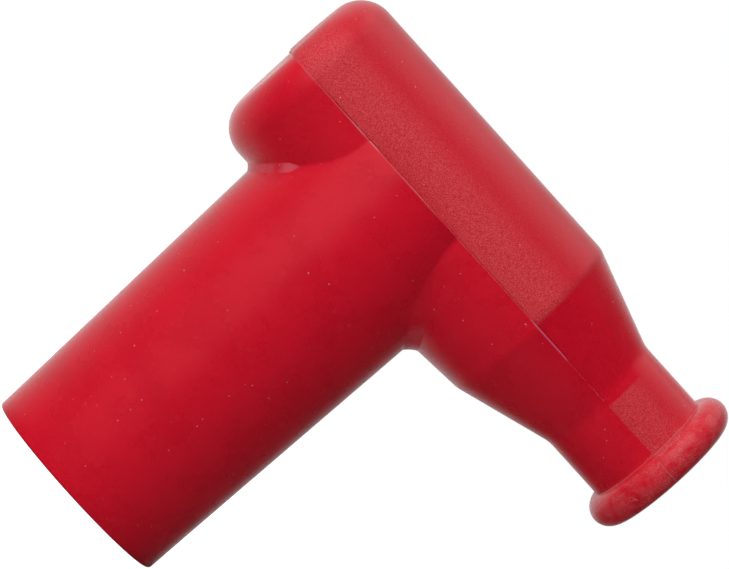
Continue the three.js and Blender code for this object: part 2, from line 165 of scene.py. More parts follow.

# How strongly the marks on the silicone show, the painted highlights and painted glints among them, as
# shares.
NECK_PATCH = 0.85
GRAIN_PAST_SHEEN_BAND = 0.3
LINES_ON_LIP = 0.14
LINES_ELSEWHERE = 0.012
SCUFFS_IN_GRAIN = 0.2
SCUFFS_ELSEWHERE = 0.02
DEEPER = 0.92
SATIN_GLINT = 0.04
SATIN_GLINT_POWER = 6.0
# Pale flash and strips: thin silicone, partly a painted highlight.
FLASH_AND_HIGHLIGHT_SHARE = 0.85
PALE_DUST = 0.7
MEAN_GRAIN_HEIGHT = 0.515
SATIN_HEIGHT = 0.08
DUST_HEIGHT = 0.5

# Right, up and back in the picture: the side that is pale in gloss, and each light's place and size.
PALE_SIDE = (-0.35, 0.55, -0.75)
KEY_LIGHT = ((0, 0.39, 0.39), 0.6)
FILL_LIGHT = ((-0.35, 0, 0.4), 0.5)
RIM_LIGHT = ((0.35, 0.35, -0.1), 0.4)
FLOOR_REACH = 4.0
FLOOR_DROP = 0.02 * MM
FLOOR_GREY = (0.75, 0.75, 0.75, 1)
FLOOR_GLOW = 0.94
WHITE = (1, 1, 1, 1)
BLACK = (0, 0, 0, 1)

# Layout of the nodes in a node tree.
NODES_IN_ROW = 8
NODE_SPACING = (200, -260)


def amount(value, description, **options):
    """A property that is never negative."""
    return FloatProperty(description=description, default=value, min=0.0, **options)


def length(value_mm, description):
    """A length property, given in millimetres and kept in metres."""
    return amount(value_mm * MM, description, unit="LENGTH", precision=5)


def angle(value_deg, description):
    """An angle property, given in degrees and kept in radians."""
    turn = math.radians(value_deg)
    return FloatProperty(description=description, default=turn, subtype="ANGLE", unit="ROTATION")


def colour(rgb, description):
    """A linear colour property."""
    rgba = (*rgb, 1.0)
    return FloatVectorProperty(description=description, default=rgba, size=4, min=0, max=1, subtype="COLOR")


def labelled(group):
    """Labels a group's properties after their names: leg_draft becomes Leg draft."""
    for name, declared in group.__annotations__.items():
        declared.keywords["name"] = name.replace("_", " ").capitalize()
    return group


@labelled
class BootSizes(PropertyGroup):
    """Sizes of the moulded boot, measured from the leg's axis and the rim of the plug's mouth."""

    arm_height: length(45.0, "Rim to the arm's axis, where the parting plane is")
    leg_rim_radius: length(11.05, "Outside of the leg at its rim")
    leg_draft: angle(1.35, "Lean of the leg's side, which lets it out of its mould")
    rim_rounding: length(0.3, "Rounding of the leg's outer edge at the rim")
    barrel_radius: length(10.03, "Upper mould half of the barrel")
    parting_step: length(0.2, "How far the lower half stands proud of the upper")
    barrel_sag: length(0.25, "How much deeper than wide the lower half of the barrel is")
    dome_reach: length(17.85, "Leg's axis to the barrel's closed end")
    dome_step: length(0.2, "How far the lower half of the closed end is set in")
    dome_rounding: length(3.7, "Rounding of the closed end's edge")
    dome_draft: angle(0.8, "Lean of the closed end's lower half")
    dome_foot_rounding: length(0.5, "Rounding of the closed end's foot, upper half")
    shoulder_reach: length(17.6, "Leg's axis to the large end of the shoulder cone")
    shoulder_rounding: length(2.6, "Rounding between barrel and cone")
    cone_length: length(10.3, "Length of the shoulder cone")
    cone_shift: length(0.7, "How much nearer the lip the lower half's cone lies")
    neck_rounding: length(4.0, "Rounding between cone and neck")
    neck_radius: length(6.8, "Outside of the neck that grips the lead")
    lip_reach: length(39.35, "Leg's axis to the lip's front face")
    lip_radius: length(8.7, "Outside of the rolled lip")
    lip_bead_radius: length(1.82, "Radius of the lip's rolled edge")
    web_reach: length(1.05, "Flat strip in the corner between leg and barrel, lead's side")
    web_start: angle(38.0, "How far round the leg it keeps its width")
    web_end: angle(56.0, "How far round the leg it dies away")
    # Up to this turn both strips are painted paler, a painted highlight on their flat faces.
    web_pale_end: angle(31.0, "How far round the leg both strips are worn")
    back_web_reach: length(0.6, "The same strip on the side of the closed end")
    back_web_start: angle(37.0, "How far round the leg it keeps its width")
    back_web_end: angle(41.5, "How far round the leg it ends in a point")
    web_hollow: amount(0.2, "Share of a full fillet's hollow")
    flash_reach: length(0.2, "How far the parting flash stands out where it was torn")
    flash_thickness: length(0.08, "Thickness of the parting flash")
    notch_depth: length(0.22, "Deepest notch torn from the upper half")


@labelled
class BoreSizes(PropertyGroup):
    """Sizes of the two bores in the boot and of the pocket for the insert."""

    mouth_radius: length(7.4, "Plug's bore at its mouth")
    mouth_chamfer: length(0.7, "Chamfer of the plug's bore at the rim")
    mouth_depth: length(6.0, "Depth of the wide part of the plug's bore")
    mouth_draft: length(0.2, "How much the wide part narrows with its depth")
    mouth_taper: length(2.4, "Length of the taper to the gripping bore")
    grip_radius: length(5.6, "Bore that grips the plug's insulator")
    rib_height: length(0.5, "Height of the sealing ribs")
    rib_width: length(1.1, "Width of the sealing ribs")
    rib_pitch: length(3.6, "Distance between the sealing ribs")
    rib_start: length(10.2, "Rim to the middle of the first rib")
    stem_foot: length(20.7, "Rim to the start of the pocket for the insert's stem")
    stem_radius: length(6.7, "Pocket for the insert's stem")
    bar_radius: length(6.9, "Pocket for the insert's bar")
    bar_back: length(14.5, "Leg's axis to the pocket's closed end")
    bar_front: length(19.1, "Leg's axis to the pocket's end at the lead")
    bar_chamfer: length(0.8, "Chamfer at both ends of the bar's pocket")
    lead_radius: length(3.4, "Bore for the ignition lead")
    lead_flare: length(0.6, "Flare of the lead's bore at the lip")
    lead_rib_height: length(0.3, "Height of the ribs on the lead")
    lead_rib_width: length(1.4, "Width of the ribs on the lead")
    lead_rib_pitch: length(2.8, "Distance between the ribs on the lead")
    lead_rib_inset: length(4.4, "Lip's face to the middle of the outer rib")


@labelled
class CapColours(PropertyGroup):
    """Colours of the boot and of what is inside it."""

    silicone: colour((0.61, 0.0006, 0.0165), "Moulded silicone, smooth finish")
    # The blasted tone is darker than the smooth silicone, partly as painted shade on the upper half.
    blasted: colour((0.54, 0.005, 0.018), "Silicone on the blasted mould half")
    # Bright grains are painted glints of the light on the blasted grain.
    grain: colour((0.6, 0.064, 0.074), "Bright grains on the blasted mould half")
    # Both flash tones are thin silicone, paler partly as a painted highlight.
    flash: colour((0.64, 0.15, 0.19), "Thin silicone of the parting flash")
    cone_flash: colour((0.62, 0.14, 0.24), "The thinnest flash, torn along the cone")
    # The dust colour also paints the satin glints, as painted highlights.
    dust: colour((0.75, 0.42, 0.4), "Pale dust on the silicone")
    phenolic: colour((0.012, 0.011, 0.01), "Moulded insert")
    ceramic: colour((0.79, 0.74, 0.63), "Resistor rod")
    brass: colour((0.57, 0.36, 0.07), "Turned brass")
    steel: colour((0.48, 0.5, 0.53), "Spring and sheet steel")


@labelled
class StudioSettings(PropertyGroup):
    """Light and camera."""

    key_power: amount(3.4, "Power of the soft light above", unit="POWER")
    fill_power: amount(0.7, "Power of the fill on the left", unit="POWER")
    rim_power: amount(0.6, "Power of the light beyond the upper edges", unit="POWER")
    ambient: amount(0.12, "Strength of the world's light on the part")
    camera_distance: length(491.88, "Camera to the leg's axis")
    camera_height: length(44.32, "Camera above the floor")
    camera_yaw: angle(3.5545, "Turn of the camera round the leg")
    camera_roll: angle(47.946, "Tilt of the picture")
    aim_along: length(4.4275, "Leg's axis to the point that the camera looks at")
    aim_height: length(35.039, "Height of the point that the camera looks at")
    lens: amount(242.94, "Focal length in millimetres")


def leg_axis():
    """Place of the leg's axis along X, from the closed end of the CAD boot."""
    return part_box("boot")[0].x + bpy.context.scene.cap_boot.dome_reach


def leg_radius(sizes, height):
    """Outside radius of the leg at a height."""
    return sizes.leg_rim_radius + height * math.tan(sizes.leg_draft)


def rounded_corner(before, corner, after, radius, steps):
    """Points of the arc that rounds one corner of a profile, always the same number of them."""
    before, corner, after = (complex(*place) for place in (before, corner, after))
    back = (before - corner) / abs(before - corner)
    ahead = (after - corner) / abs(after - corner)
    half = abs(cmath.phase(ahead / back)) / 2
    setback = radius / math.tan(half)
    centre = corner + (back + ahead) / abs(back + ahead) * setback / math.cos(half)
    start = corner + back * setback - centre
    sweep = cmath.phase((corner + ahead * setback - centre) / start)
    arc = centre + start * np.exp(1j * np.linspace(0, sweep, steps + 1))
    return np.stack([arc.real, arc.imag], axis=1)


def between(start, end, steps):
    """Evenly spaced values from start to end, without either of them."""
    return np.linspace(start, end, steps + 1)[1:-1]


def arm_outline(sizes, width, closed_end, face_draft, shoulder):
    """Outline of one mould half of the arm, as pairs of place along it and distance from its axis.

    The first part runs from the middle of the closed end to the end of its rounding, the second
    from the start of the shoulder's rounding to the middle of the lip's face.
    """
    ease = leg_radius(sizes, sizes.arm_height - width) + sizes.web_reach
    bead_across = sizes.lip_radius - sizes.lip_bead_radius
    bead_along = sizes.lip_reach - sizes.lip_bead_radius
    bead_foot = math.acos((sizes.neck_radius - bead_across) / sizes.lip_bead_radius)
    corner = (closed_end + width * math.tan(face_draft), width)
    cone_start = (shoulder, sizes.barrel_radius)
    cone_end = (shoulder + sizes.cone_length, sizes.neck_radius)
    neck_end = (bead_along, sizes.neck_radius)
    dome = rounded_corner((closed_end, 0), corner, (ease, width), sizes.dome_rounding, DOME_STEPS)
    shoulder_arc = rounded_corner((ease, width), cone_start, cone_end, sizes.shoulder_rounding, EDGE_STEPS)
    neck_arc = rounded_corner(cone_start, cone_end, neck_end, sizes.neck_rounding, EDGE_STEPS)
    turns = np.linspace(-bead_foot, math.pi / 2, BEAD_STEPS + 1)
    bead = np.stack([np.sin(turns), np.cos(turns)], axis=1) * sizes.lip_bead_radius
    bead += (bead_along, bead_across)
    closed_middle = np.array([[closed_end, 0.0]])
    face_middle = np.array([[sizes.lip_reach, 0.0]])
    behind = [closed_middle, between(closed_middle[0], dome[0], FACE_STEPS), dome]
    ahead = [
        shoulder_arc,
        between(shoulder_arc[-1], neck_arc[0], CONE_STEPS),
        neck_arc,
        between(neck_arc[-1], bead[0], NECK_STEPS),
        bead,
        between(bead[-1], face_middle[0], FACE_STEPS),
        face_middle,
    ]
    return np.concatenate(behind), np.concatenate(ahead)


class GridMesh:
    """Grids of corners with the quads between them, gathered for one mesh."""

    def __init__(self):
        self.corners = []
        self.marks = []
        self.faces = []
        self.count = 0

    def add(self, grid, closed=False, marks=0.0):
        """Adds a grid of corners in rows and columns. A closed grid joins its last column to its first."""
        rows, columns = grid.shape[:2]
        self.corners.append(grid.reshape(-1, 3))
        self.marks.append(np.broadcast_to(marks, (rows, columns)).reshape(-1))
        spans = columns if closed else columns - 1
        for row in range(rows - 1):
            low = self.count + row * columns
            high = low + columns
            for column in range(spans):
                beside = (column + 1) % columns
                self.faces.append((low + column, low + beside, high + beside, high + column))
        self.count += rows * columns

    def mesh(self, name):
        """The gathered grids as one closed mesh, with touching corners merged."""
        corners = np.concatenate(self.corners)
        marks = np.concatenate(self.marks)
        work = bmesh.new()
        layer = work.verts.layers.float.new(FLASH_AND_HIGHLIGHT_MARK)
        made = []
        for place, mark in zip(corners, marks):
            vert = work.verts.new(place)
            vert[layer] = mark
            made.append(vert)
        for face in self.faces:
            work.faces.new([made[i] for i in face])
        bmesh.ops.remove_doubles(work, verts=work.verts, dist=MERGE_DISTANCE)
        bmesh.ops.dissolve_degenerate(work, edges=work.edges, dist=MERGE_DISTANCE)
        bmesh.ops.recalc_face_normals(work, faces=work.faces)
        open_edges = sum(1 for edge in work.edges if not edge.is_manifold)
        if open_edges:
            raise RuntimeError(f"{name} has {open_edges} open edges")
        result = bpy.data.meshes.new(name)
        work.to_mesh(result)
        work.free()
        return result


def upper_rows(sizes, outline):
    """Grid of the upper mould half from its outline."""
    turns = np.linspace(0, math.pi, HALF_TURN_STEPS + 1)
    first_turns = turns[1] * np.array(FIRST_TURN_SHARES)
    turns = np.concatenate([[0], first_turns, turns[1:-1], math.pi - first_turns[::-1], [math.pi]])
    along, across = outline[:, :1], outline[:, 1:]
    rise = np.maximum(across - UPPER_STRIP, 0)
    z = sizes.arm_height + UPPER_STRIP + rise * np.sin(turns)
    under = np.clip(1 - (z - sizes.arm_height) / sizes.dome_foot_rounding, 0, 1)
    on_end = np.clip((sizes.dome_rounding - sizes.dome_reach - along) / sizes.dome_rounding, 0, 1)
    x = along + sizes.dome_foot_rounding * (1 - np.sqrt(1 - under**2)) * on_end
    return np.stack([x, across * np.cos(turns), z], axis=2)


def lower_barrel(sizes):
    """Half width and depth of the barrel's lower half, and the height of its upper edge."""
    wide = sizes.barrel_radius + sizes.parting_step
    return wide, wide + sizes.barrel_sag - LOWER_STRIP, sizes.arm_height - LOWER_STRIP


def lower_rows(sizes, outline, turns):
    """Grid of the lower mould half from its outline, with its columns at the given turns."""
    wide, _, middle = lower_barrel(sizes)
    ease = leg_radius(sizes, sizes.arm_height - wide - sizes.barrel_sag) + sizes.web_reach
    shoulder = sizes.shoulder_reach + sizes.cone_shift
    along, across = outline[:, :1], outline[:, 1:]
    sag = sizes.barrel_sag / wide * np.clip((shoulder - along) / (shoulder - ease), 0, 1)
    drop = np.maximum(across * (1 + sag) - LOWER_STRIP, 0)
    x = np.broadcast_to(along, (len(outline), len(turns)))
    z = middle - drop * np.sin(turns)
    return np.stack([x, across * np.cos(turns), z], axis=2)


def unit(rows):
    """Directions of length 1."""
    return rows / np.maximum(np.linalg.norm(rows, axis=1), NO_LENGTH)[:, None]


def towards(rows, guide):
    """Directions, each turned round where it faces away from its guide."""
    return rows * np.sign(np.sum(rows * guide, axis=1))[:, None]


def leg_corner(sizes, widest, start, end):
    """The strip in the corner between leg and barrel on the lead's side, as a grid from barrel to leg."""
    wide, deep, middle = lower_barrel(sizes)
    slope = math.tan(sizes.leg_draft)
    turns = np.linspace(0, math.pi, HALF_TURN_STEPS + 1)
    y = wide * np.cos(turns)
    z = middle - deep * np.sin(turns)
    x = np.sqrt((sizes.leg_rim_radius + z * slope) ** 2 - y**2)
    crease = np.stack([x, y, z], axis=1)

    leg_normal = unit(np.stack([x, y, -slope * np.hypot(x, y)], axis=1))
    barrel_normal = unit(np.stack([0 * x, y / wide**2, (z - middle) / deep**2], axis=1))
    run = unit(np.cross(leg_normal, barrel_normal))
    down_leg = towards(np.cross(run, leg_normal), barrel_normal)
    off_leg = towards(np.cross(run, barrel_normal), leg_normal)

    round_leg = np.arctan2(np.abs(y), x)
    fade = np.clip((end - round_leg) / (end - start), 0, 1)
    reach = np.maximum(widest * fade, THINNEST_STRIP)[:, None]
    on_leg = crease + down_leg * reach
    on_barrel = crease + off_leg * reach
    on_leg[[0, -1], 2] = middle
    outside = sizes.leg_rim_radius + on_leg[:, 2] * slope
    on_leg[:, :2] *= (outside / np.hypot(on_leg[:, 0], on_leg[:, 1]))[:, None]
    on_barrel[[0, -1], 2] = middle
    stretch = np.hypot(on_barrel[:, 1] / wide, (on_barrel[:, 2] - middle) / deep)
    on_barrel[:, 1] /= stretch
    on_barrel[:, 2] = middle + (on_barrel[:, 2] - middle) / stretch
    shares = np.array(STRIP_SHARES)[:, None, None]
    hollow = sizes.web_hollow * (2 * crease - on_barrel - on_leg) * shares * (1 - shares)
    return on_barrel * (1 - shares) + on_leg * shares + hollow


def strip_marks(strip, pale_until, torn_from, torn_until):
    """How pale a strip is painted at each corner, as a painted highlight: at its start, and at a torn end.
    """
    round_leg = np.arctan2(np.abs(strip[..., 1]), np.abs(strip[..., 0]))
    paled = np.clip((pale_until - round_leg) / STRIP_FADE, 0, 1)
    torn = np.clip((round_leg - torn_from) / STRIP_FADE, 0, 1)
    torn *= np.clip((torn_until - round_leg) / STRIP_FADE, 0, 1)
    marks = STRIP_HIGHLIGHT * paled + TORN_END_HIGHLIGHT * torn
    marks[[0, -1]] = 0
    return marks


def barrel_turns(sizes, foot):
    """Turns round the lower barrel of the corners in a strip's row on it."""
    wide, deep, middle = lower_barrel(sizes)
    turns = np.arctan2((middle - foot[:, 2]) / deep, foot[:, 1] / wide)
    turns[[0, -1]] = (0, math.pi)
    return turns


def ragged(count, generator, steps):
    """A seeded row of values between 0 and 1 that changes over a few steps."""
    knots = generator.random(count // steps + 3)
    return np.interp(np.arange(count) / steps, np.arange(len(knots)), knots)


def flash_on(sizes, upper, lower, generator):
    """The parting flash along one side, as a grid across it, and how much each corner is torn.

    It stands on the ledge that the lower mould half leaves beside the upper one. Where the real one was
    pulled off with the sprue it is ragged, and elsewhere it is a thin thread, painted bright, partly as a
    painted highlight.
    """
    along = lower[:, 0]
    plan = lower[:, :2]
    inner = upper[:, :2]
    run = np.gradient(plan, axis=0)
    out = unit(np.stack([run[:, 1], -run[:, 0]], axis=1))
    side = np.sign(plan[np.argmax(np.abs(plan[:, 1])), 1])
    out *= np.sign(out[len(out) // 2, 1] * side)
    out[0] = (-1, 0)
    out[-1] = (1, 0)
    gap = np.sum((inner - plan) * out, axis=1)
    edge = plan + out * np.maximum(gap, 0)[:, None]
    ledge = np.linalg.norm(edge - inner, axis=1)

    places_mm = along / MM
    torn = np.interp(places_mm, *FLASH_TORN)
    steady = np.interp(places_mm, *FLASH_STEADY)
    rough = ragged(len(along), generator, FINE_TEAR) * ragged(len(along), generator, COARSE_TEAR)
    strength = np.clip(steady + torn * rough * TEAR_GAIN, LEAST_FLASH, 1)
    strength[[0, -1]] = steady[0]
    on_leg = np.hypot(along, plan[:, 1]) > leg_radius(sizes, sizes.arm_height) - sizes.parting_step
    flat_end = np.abs(out[:, 0]) > FLAT_END
    reach = sizes.flash_reach * strength * np.where(on_leg | flat_end, 0, 1)
    thick = sizes.flash_thickness * (THINNEST_FLASH + (1 - THINNEST_FLASH) * strength)
    root = np.minimum(thick, FLASH_ROOT * ledge)
    top = sizes.arm_height + sizes.flash_reach * FLASH_RISE * strength

    depth = LEAST_NOTCH + (1 - LEAST_NOTCH) * ragged(len(along), generator, NOTCH_TEAR)
    notches = sizes.notch_depth * np.interp(places_mm, *FLASH_NOTCHES) * depth
    notches[[0, -1]] = 0

    def row(start, shift, heights):
        places = start + out * shift[:, None]
        return np.concatenate([places, np.broadcast_to(heights, len(along))[:, None]], axis=1)

    rows = [
        upper,
        row(inner, -notches, sizes.arm_height + NOTCH_TOP * UPPER_STRIP),
        row(inner, -notches, sizes.arm_height + NOTCH_FOOT * UPPER_STRIP),
        row(edge, -root, sizes.arm_height),
        row(edge, reach - np.minimum(thick, root + reach) / 2, top),
        row(edge, reach, top - thick / 2 - FLASH_EDGE_DROP),
        lower,
    ]
    plain = 0 * strength
    # How pale the flash is painted: thin silicone, partly a painted highlight.
    seen = np.clip(strength - PALE_FROM, 0, 1)
    marks = np.stack([plain, plain, plain, seen, seen, seen, plain])
    return np.stack(rows), marks


def on_circle(radius, turns, heights):
    """Corners round the leg's axis, at turns and heights."""
    return np.stack([radius * np.cos(turns), radius * np.sin(turns), heights + 0 * turns], axis=1)


def boot_skin(sizes):
    """The boot's closed outside, without its bores, measured from the leg's axis."""
    wide, _, middle = lower_barrel(sizes)
    shoulder = sizes.shoulder_reach
    upper_back, upper_front = arm_outline(sizes, sizes.barrel_radius, -sizes.dome_reach, 0, shoulder)
    lower_end = sizes.dome_step - sizes.dome_reach
    lower_shoulder = shoulder + sizes.cone_shift
    lower_back, lower_front = arm_outline(sizes, wide, lower_end, sizes.dome_draft, lower_shoulder)
    lead_side = leg_corner(sizes, sizes.web_reach, sizes.web_start, sizes.web_end)
    closed_side = leg_corner(sizes, sizes.back_web_reach, sizes.back_web_start, sizes.back_web_end)
    closed_side = closed_side * (-1, 1, 1)

    # Lower half of the arm, behind the leg and in front of it.
    behind = lower_rows(sizes, lower_back, barrel_turns(sizes, closed_side[0]))
    behind = np.concatenate([behind, between(behind[-1], closed_side[0], BARREL_STEPS), closed_side[:1]])
    ahead = lower_rows(sizes, lower_front, barrel_turns(sizes, lead_side[0]))
    past_web = lead_side[0].copy()
    past_web[:, 0] = lead_side[0][:, 0].max() + THINNEST_STRIP
    start = np.linspace(lead_side[0], past_web, BARREL_STEPS - SHOULDER_STEPS + 1)
    ahead = np.concatenate([start, between(past_web, ahead[0], SHOULDER_STEPS), ahead])

    # The leg, its columns running up to the strips and to the ledge between them.
    ledge_turn = math.atan2(lead_side[-1][0, 1], lead_side[-1][0, 0])
    ledge_turns = np.linspace(ledge_turn, math.pi - ledge_turn, LEDGE_STEPS + 1)
    ledge = on_circle(leg_radius(sizes, middle), ledge_turns, middle)
    near_ledge = ledge * (1, -1, 1)
    tops = np.concatenate([lead_side[-1], near_ledge[1:-1], closed_side[-1][::-1], ledge[::-1][1:-1]])
    round_leg = np.arctan2(tops[:, 1], tops[:, 0])
    rim = rounded_corner(
        (0, 0),
        (sizes.leg_rim_radius, 0),
        (leg_radius(sizes, sizes.arm_height), sizes.arm_height),
        sizes.rim_rounding,
        RIM_STEPS,
    )
    rim = np.concatenate([[(0.0, 0.0)], between((0, 0), rim[0], FACE_STEPS), rim])
    leg_rows = [on_circle(radius, round_leg, height) for radius, height in rim]
    for heights in between(rim[-1][1], tops[:, 2], LEG_ROWS):
        leg_rows.append(on_circle(leg_radius(sizes, heights), round_leg, heights))
    leg_rows.append(tops)

    # Upper half of the arm, with a row of corners at each corner of the lower half's edge.
    edges = {}
    for column, arc in ((0, ledge[::-1]), (-1, near_ledge[::-1])):
        edges[column] = np.concatenate(
            [
                behind[:, column],
                closed_side[1:, column],
                arc[1:-1],
                lead_side[::-1, column][:-1],
                ahead[:, column],
            ]
        )
    first = len(upper_back)
    last = len(edges[0]) - len(upper_front) + 1
    barrel = edges[0][first:last, 0].copy()
    easing = barrel[-SHOULDER_STEPS - 1 :]
    easing[:] = np.linspace(easing[0], upper_front[0, 0], SHOULDER_STEPS + 1)
    barrel = np.stack([barrel, np.full(len(barrel), sizes.barrel_radius)], axis=1)
    upper = upper_rows(sizes, np.concatenate([upper_back, barrel, upper_front[1:]]))

    skin = GridMesh()
    skin.add(upper)
    skin.add(behind)
    skin.add(ahead)
    # The strips' marks are a painted highlight on their flat faces.
    skin.add(lead_side, marks=strip_marks(lead_side, sizes.web_pale_end, math.pi, math.pi))
    torn_from = sizes.back_web_start - TORN_END
    skin.add(closed_side, marks=strip_marks(closed_side, sizes.web_pale_end, torn_from, sizes.back_web_end))
    skin.add(np.stack(leg_rows), closed=True)
    generator = np.random.default_rng(FLASH_SEED)
    # The flash's marks paint it pale, partly as a painted highlight.
    for column in (0, -1):
        grid, marks = flash_on(sizes, upper[:, column], edges[column], generator)
        skin.add(grid, marks=marks)
    return skin.mesh("boot_skin")


def turned(name, profile, along_arm, sizes):
    """A closed solid turned about the leg's axis or the arm's from pairs of distance and place."""
    distances, places = np.array(profile, float).T[:, :, None]
    turns = np.linspace(0, 2 * math.pi, BORE_SEGMENTS, endpoint=False)
    side = distances * np.cos(turns)
    rise = distances * np.sin(turns)
    places = np.broadcast_to(places, side.shape)
    grid = (places, side, sizes.arm_height + rise) if along_arm else (side, rise, places)
    solid = GridMesh()
    solid.add(np.stack(grid, axis=2), closed=True)
    return solid.mesh(name)


def rib(bore_radius, middle, width, height):
    """Profile of a rounded sealing rib that stands into a bore."""
    shares = np.linspace(-1, 1, RIB_STEPS + 1)
    dips = height * (1 + np.cos(shares * math.pi)) / 2
    return [(bore_radius - dip, middle + share * width / 2) for share, dip in zip(shares, dips)]


def bore_tools(sizes, bores):
    """The solids that are cut from the boot: the plug's bore, the lead's bore and the bar's pocket."""
    beyond = MM
    plug = [
        (0, -beyond),
        (bores.mouth_radius + bores.mouth_chamfer + beyond, -beyond),
        (bores.mouth_radius, bores.mouth_chamfer),
        (bores.mouth_radius - bores.mouth_draft, bores.mouth_depth),
        (bores.grip_radius, bores.mouth_depth + bores.mouth_taper),
    ]
    for k in range(PLUG_RIBS):
        middle = bores.rib_start + k * bores.rib_pitch
        plug += rib(bores.grip_radius, middle, bores.rib_width, bores.rib_height)
    plug += [
        (bores.grip_radius, bores.stem_foot),
        (bores.stem_radius, bores.stem_foot),
        (bores.stem_radius, sizes.arm_height),
        (0, sizes.arm_height),
    ]
    lead = [(0, 0), (bores.lead_radius, 0)]
    outer_rib = sizes.lip_reach - bores.lead_rib_inset
    for place in (outer_rib - bores.lead_rib_pitch, outer_rib):
        lead += rib(bores.lead_radius, place, bores.lead_rib_width, bores.lead_rib_height)
    lead += [
        (bores.lead_radius, sizes.lip_reach - bores.lead_flare),
        (bores.lead_radius + bores.lead_flare + beyond, sizes.lip_reach + beyond),
        (0, sizes.lip_reach + beyond),
    ]
    bar = [
        (0, -bores.bar_back),
        (bores.bar_radius - bores.bar_chamfer, -bores.bar_back),
        (bores.bar_radius, -bores.bar_back + bores.bar_chamfer),
        (bores.bar_radius, bores.bar_front - bores.bar_chamfer),
        (bores.bar_radius - bores.bar_chamfer, bores.bar_front),
        (0, bores.bar_front),
    ]
    return [
        turned("plug_bore", plug, False, sizes),
        turned("lead_bore", lead, True, sizes),
        turned("bar_pocket", bar, True, sizes),
    ]


def cut_from(piece, tools):
    """Cuts each tool's mesh from the piece and removes the tool."""
    for tool_mesh in tools:
        tool = bpy.data.objects.new(tool_mesh.name, tool_mesh)
        bpy.context.scene.collection.objects.link(tool)
        cut = piece.modifiers.new("Cut", "BOOLEAN")
        cut.operation = "DIFFERENCE"
        cut.solver = "MANIFOLD"
        cut.object = tool
        ready = piece.evaluated_get(bpy.context.evaluated_depsgraph_get())
        result = bpy.data.meshes.new_from_object(ready)
        piece.modifiers.remove(cut)
        previous = piece.data
        piece.data = result
        bpy.data.meshes.remove(previous)
        bpy.data.objects.remove(tool)
        bpy.data.meshes.remove(tool_mesh)
    if not piece.data.polygons:
        raise RuntimeError(f"nothing is left of {piece.name}")


def node(tree, kind, inputs=None, **settings):
    """Adds a node. An input is given by name or number, as a value or as what feeds it."""
    made = tree.nodes.new(kind)
    row, column = divmod(len(tree.nodes), NODES_IN_ROW)
    made.location = (column * NODE_SPACING[0], row * NODE_SPACING[1])
    for key, value in settings.items():
        setattr(made, key, value)
    for key, value in (inputs or {}).items():
        if isinstance(value, Signal):
            value = value.socket
        if isinstance(value, bpy.types.NodeSocket):
            tree.links.new(value, made.inputs[key])
        else:
            made.inputs[key].default_value = value
    return made


def math_node(tree, operation, *values, clamp=False):
    """The output of a Math node."""
    made = node(tree, "ShaderNodeMath", dict(enumerate(values)), operation=operation, use_clamp=clamp)
    return Signal(made.outputs[0])


def arithmetic(operation, swapped=False):
    """A method of a signal that adds a Math node for it and another value."""

    def method(self, other=0.0):
        return math_node(self.tree, operation, *((other, self) if swapped else (self, other)))

    return method


class Signal:
    """A value in a node tree. Arithmetic on it adds Math nodes."""

    def __init__(self, socket):
        self.socket = socket
        self.tree = socket.id_data

    __add__ = arithmetic("ADD")
    __sub__ = arithmetic("SUBTRACT")
    __rsub__ = arithmetic("SUBTRACT", swapped=True)
    __mul__ = arithmetic("MULTIPLY")
    __truediv__ = arithmetic("DIVIDE")
    __rtruediv__ = arithmetic("DIVIDE", swapped=True)
    __pow__ = arithmetic("POWER")
    __abs__ = arithmetic("ABSOLUTE")

    def capped(self):
        """This value, kept between 0 and 1."""
        return math_node(self.tree, "ADD", self, 0.0, clamp=True)

    def eased(self, low, high):
        """A smooth step of this value, from 0 at low to 1 at high."""
        inputs = {"Value": self, "From Min": low, "From Max": high}
        made = node(self.tree, "ShaderNodeMapRange", inputs, interpolation_type="SMOOTHSTEP")
        return Signal(made.outputs["Result"])


def blended(share, first, second):
    """A colour between two, by share."""
    return node(share.tree, "ShaderNodeMix", {0: share, 6: first, 7: second}, data_type="RGBA").outputs[2]


def shaded(tone, gain, lift=0.0):
    """A colour made darker or paler."""
    return (*(min(1.0, part * gain + lift) for part in tone[:3]), 1.0)


def noise(position, size, detail, roughness=0.5):
    """Soft noise between 0 and 1, with lumps of a size."""
    inputs = {"Vector": position, "Scale": 1.0 / size, "Detail": detail, "Roughness": roughness}
    return Signal(node(position.tree, "ShaderNodeTexNoise", inputs).outputs["Fac"])


def cells(position, size):
    """The outputs of a pattern of cells of a size."""
    return node(position.tree, "ShaderNodeTexVoronoi", {"Vector": position, "Scale": 1.0 / size}).outputs


def new_group(name, inputs, outputs):
    """A shader node group and its inputs: the position, and values with their defaults."""
    group = bpy.data.node_groups.new(name, "ShaderNodeTree")
    group.interface.new_socket("Position", in_out="INPUT", socket_type="NodeSocketVector")
    for label, default in inputs.items():
        socket = group.interface.new_socket(label, in_out="INPUT", socket_type="NodeSocketFloat")
        socket.default_value = default
    for label in outputs:
        group.interface.new_socket(label, in_out="OUTPUT", socket_type="NodeSocketFloat")
    entry = group.nodes.new("NodeGroupInput").outputs
    return group, [Signal(entry[label]) for label in ("Position", *inputs)]


def grain_group(name):
    """Fine grain: its height, and how bright its grains are."""
    group, (position, size) = new_group(name, {"Grain Size": 0.2 * MM}, ["Height", "Bright Grains"])
    lumps = noise(position, size, detail=2.0)
    dimples = 1.0 - Signal(cells(position, size)["Distance"])
    lump_share = 0.7
    height = lumps * lump_share + dimples * (1 - lump_share)
    bright = lumps.eased(low=0.38, high=0.66)
    node(group, "NodeGroupOutput", {"Height": height, "Bright Grains": bright})
    return group


def mottle_group(name):
    """Slow uneven change over a surface, between 0 and 1."""
    group, (position, size) = new_group(name, {"Patch Size": 6 * MM}, ["Shade"])
    shade = noise(position, size, detail=4.0, roughness=0.6).eased(low=0.3, high=0.7)
    node(group, "NodeGroupOutput", {"Shade": shade})
    return group


